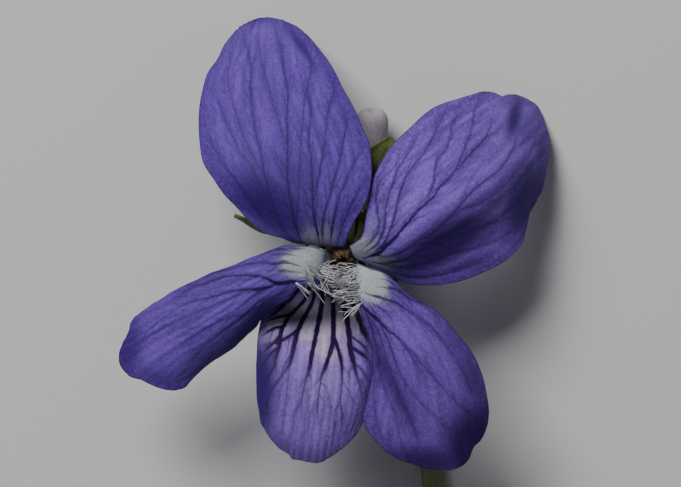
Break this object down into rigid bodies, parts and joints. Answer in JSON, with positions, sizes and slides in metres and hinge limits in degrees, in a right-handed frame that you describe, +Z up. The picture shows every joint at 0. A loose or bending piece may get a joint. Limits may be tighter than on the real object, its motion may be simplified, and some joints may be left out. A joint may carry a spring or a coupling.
{
  "type": "viola flower",
  "caption": "Picked violet flower lying face up: spreading violet petals, a spurred lower petal, green sepals and a thin curved cut stem with small bracts.",
  "frame": {"origin": "on the surface that the flower lies on, at the middle of its length and width", "axes": "+Z up out of the flower's face; +Y from the cut stem towards the upper petals, as the picture's upward direction; +X to the picture's right"},
  "size_m": [0.0219, 0.0411, 0.0092],
  "materials": {
    "petal": "soft satin petal tissue",
    "sepal": "soft leaf tissue",
    "stem": "smooth green stem",
    "stamen": "dry, slightly rough",
    "pistil": "smooth"
  },
  "bodies": {
    "root": {"upper_petal_left": "petal", "upper_petal_right": "petal", "side_petal_left": "petal", "side_petal_right": "petal", "lower_petal": "petal", "sepal_top": "sepal", "sepal_left": "sepal", "sepal_right": "sepal", "sepal_lower_left": "sepal", "sepal_lower_right": "sepal", "stem": "stem", "bract_left": "sepal", "bract_right": "sepal", "stamen_top": "stamen", "stamen_left": "stamen", "stamen_right": "stamen", "stamen_lower_left": "stamen", "stamen_lower_right": "stamen", "pistil": "pistil"}
  },
  "joints": []
}
